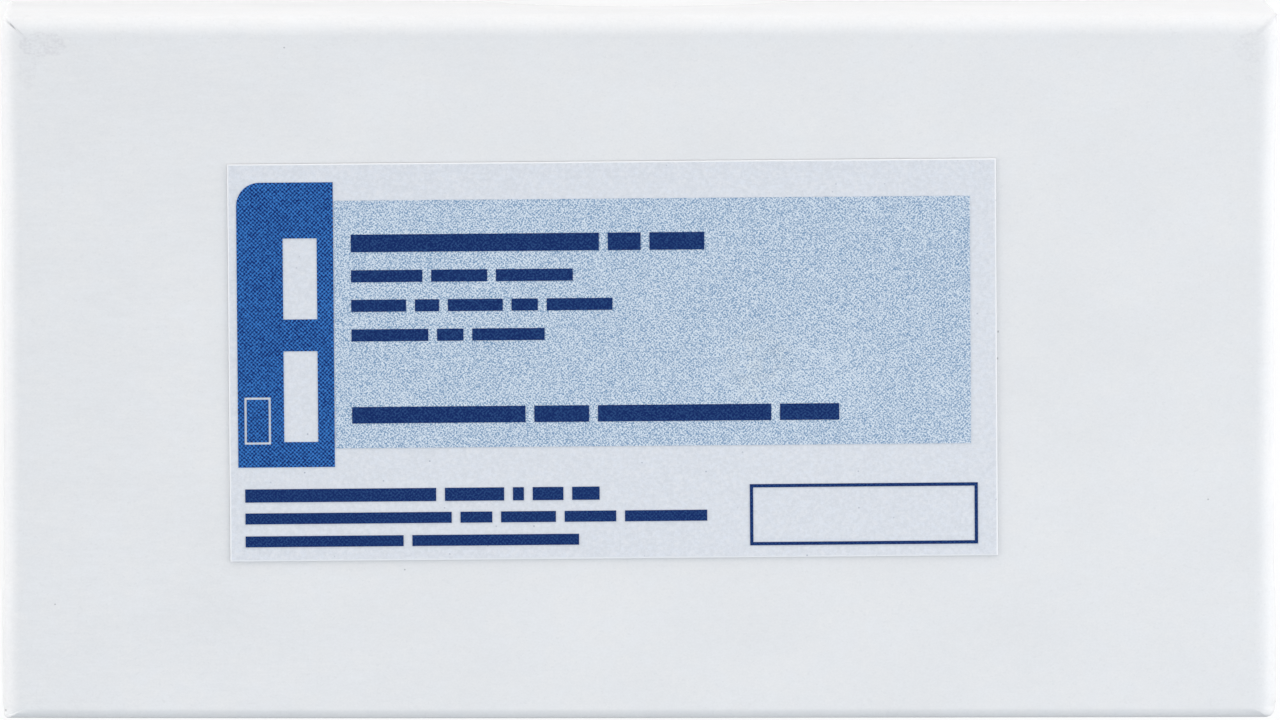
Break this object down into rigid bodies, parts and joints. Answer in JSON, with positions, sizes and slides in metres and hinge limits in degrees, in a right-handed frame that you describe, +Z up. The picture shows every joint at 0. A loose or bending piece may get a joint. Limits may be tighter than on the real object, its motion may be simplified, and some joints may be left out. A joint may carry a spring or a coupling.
{
  "type": "paper-wrapped cuvette box with lift-off lid",
  "caption": "Flat white rigid board box with a full-depth lift-off lid, thumb notches and a printed label; foam inside holds a square glass cuvette with its cap.",
  "frame": {"origin": "under the middle of the base, on the surface that the box rests on", "axes": "+X along the box, from the label's tab towards its right end; +Y across the box, up the label; +Z up, the way the lid lifts"},
  "size_m": [0.1164, 0.0644, 0.0252],
  "materials": {
    "greyboard": "matt, cut edges fibrous",
    "white_paper": "smooth uncoated, faintly mottled",
    "stay_paper": "brown kraft paper",
    "foam": "fine-celled polyethylene foam",
    "quartz": "two polished and two frosted sides",
    "cap_plastic": "waxy white fluoropolymer",
    "label_paper": "coated label stock",
    "pale_blue_print": "fine-screened print on label stock",
    "blue_print": "solid print on label stock",
    "dark_blue_print": "solid print on label stock"
  },
  "bodies": {
    "base": {"base_board": "greyboard", "base_wrap": "white_paper", "base_corner_stays": "stay_paper", "foam_floor_sheet": "foam", "foam_cut_layer": "foam", "cuvette": "quartz", "cuvette_cap": "cap_plastic"},
    "lid": {"lid_board": "greyboard", "lid_wrap": "white_paper", "lid_corner_stays": "stay_paper", "lid_foam_pad": "foam", "label_paper": "label_paper", "label_pale_field": "pale_blue_print", "label_blue_tab": "blue_print", "label_dark_print": "dark_blue_print"}
  },
  "joints": [
    {"name": "lid_lift", "type": "slide", "parent": "base", "child": "lid", "axis": [0, 0, 1], "range_m": [0, 0.06]}
  ]
}
